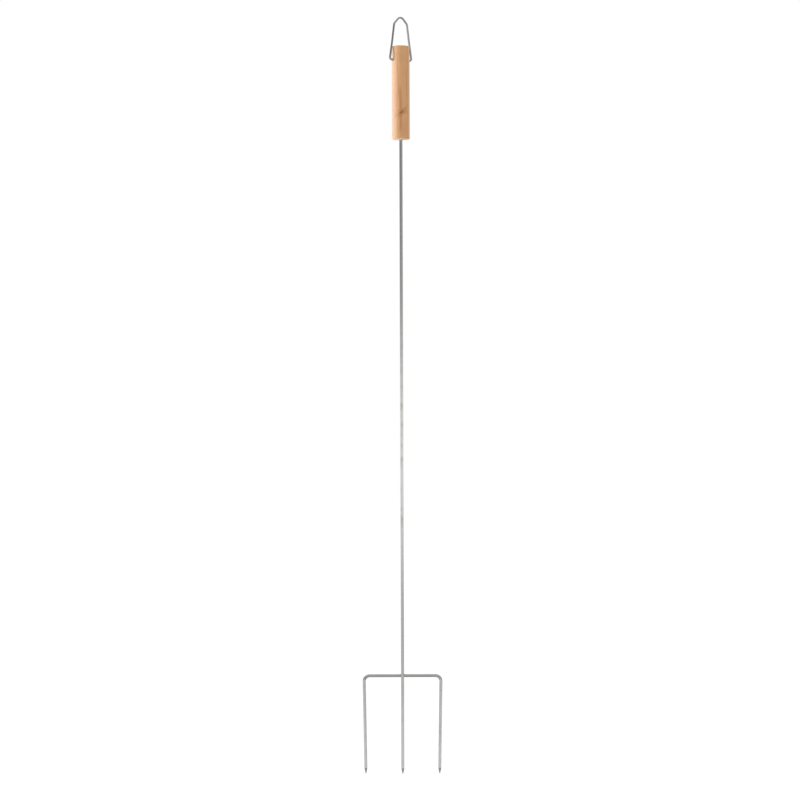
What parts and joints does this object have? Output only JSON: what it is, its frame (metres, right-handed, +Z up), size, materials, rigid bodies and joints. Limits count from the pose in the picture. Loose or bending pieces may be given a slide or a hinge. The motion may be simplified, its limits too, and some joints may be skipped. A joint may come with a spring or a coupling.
{
  "type": "marshmallow roasting stick",
  "caption": "Long roasting fork: round wooden handle, straight wire shaft ending in a pointed tine, a bent wire crossbar with outer tines behind it, and a swinging wire hanging loop.",
  "frame": {"origin": "the underside of the hanging loop's crown, where a hook or nail bears", "axes": "+Z up along the shaft towards the hanging loop, +X along the crossbar to the right, -Y towards the viewer, the side on which the shaft crosses in front of the crossbar"},
  "size_m": [0.0992, 0.022, 0.9358],
  "materials": {
    "handle_wood": "smooth sanded, unvarnished pale wood with straight grain and one small knot",
    "plated_wire": "bright plated drawn wire",
    "weld": "plated weld bead, slightly rough",
    "loop_wire": "bright plated drawn wire"
  },
  "bodies": {
    "stick": {"handle": "handle_wood", "shaft": "plated_wire", "fork_bow": "plated_wire", "weld_bead": "weld"},
    "hanging_loop": {"hanging_loop": "loop_wire"}
  },
  "joints": [
    {"name": "loop_swing", "type": "hinge", "parent": "stick", "child": "hanging_loop", "pos_m": [0, 0, -0.05125], "axis": [0.866, 0.5, 0], "range_deg": [-165, 165]}
  ]
}
